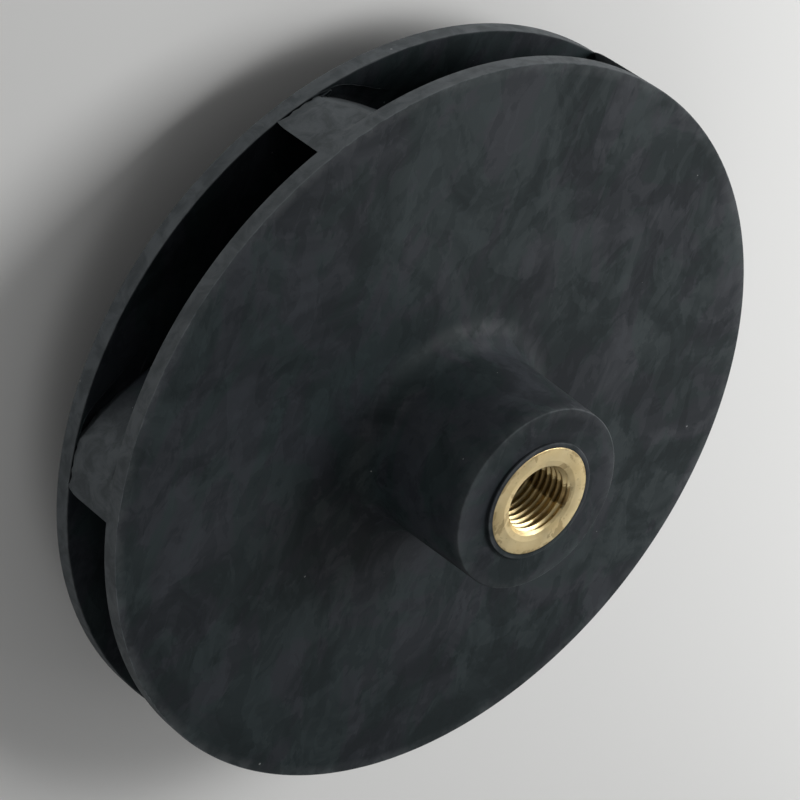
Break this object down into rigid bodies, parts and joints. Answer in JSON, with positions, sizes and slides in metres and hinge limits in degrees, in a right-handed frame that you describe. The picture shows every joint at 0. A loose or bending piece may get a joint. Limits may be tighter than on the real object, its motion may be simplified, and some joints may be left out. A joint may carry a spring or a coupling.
{
  "type": "closed pump impeller",
  "caption": "Closed centrifugal pump impeller in black moulded plastic, with backward-curved vanes between two shrouds, an eye ring and a threaded brass insert in its hub.",
  "frame": {"origin": "on the pump axis, in the plane of the eye ring's lip, which is the lowest face", "axes": "+Z along the pump axis, from the eye to the hub and out of the threaded insert's mouth; +X through the trailing edge of one vane's tip"},
  "size_m": [0.13, 0.13, 0.0522],
  "materials": {
    "moulded_plastic": "charcoal glass-filled plastic, matt, with faint flow marks",
    "insert_brass": "turned brass, lightly stained"
  },
  "bodies": {
    "root": {"back_shroud": "moulded_plastic", "front_shroud": "moulded_plastic", "threaded_insert": "insert_brass"}
  },
  "joints": []
}
